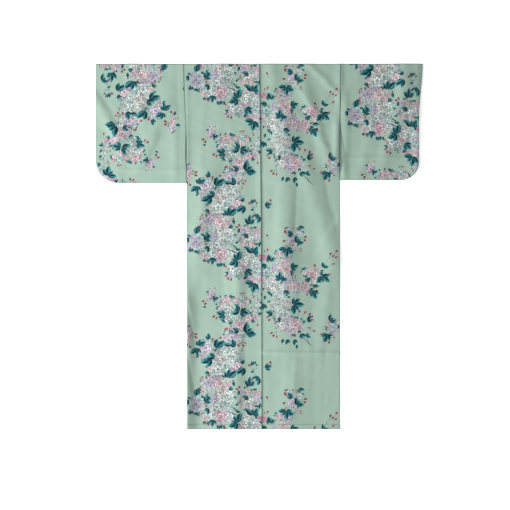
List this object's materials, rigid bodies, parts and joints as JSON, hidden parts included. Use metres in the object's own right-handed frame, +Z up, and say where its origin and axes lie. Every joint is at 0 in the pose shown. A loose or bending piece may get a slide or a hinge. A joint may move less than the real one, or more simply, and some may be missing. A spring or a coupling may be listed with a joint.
{
  "type": "cotton yukata robe laid flat",
  "caption": "Cotton yukata laid out flat with its back upwards: straight body, wide bag sleeves with rounded corners, front overlaps and a collar folded under.",
  "frame": {"origin": "on the surface that the garment lies on, under the middle of its outline", "axes": "+Z up from the surface through the garment's back, +Y from the hem to the shoulder fold, +X towards the wearer's right sleeve"},
  "size_m": [1.3465, 1.504, 0.015],
  "materials": {
    "printed_cotton": "matte plain-weave cotton, mint green with a cherry-blossom print"
  },
  "bodies": {
    "root": {"body_left": "printed_cotton", "body_right": "printed_cotton", "sleeve_left": "printed_cotton", "sleeve_right": "printed_cotton", "overlap_left": "printed_cotton", "overlap_right": "printed_cotton", "collar": "printed_cotton"}
  },
  "joints": []
}
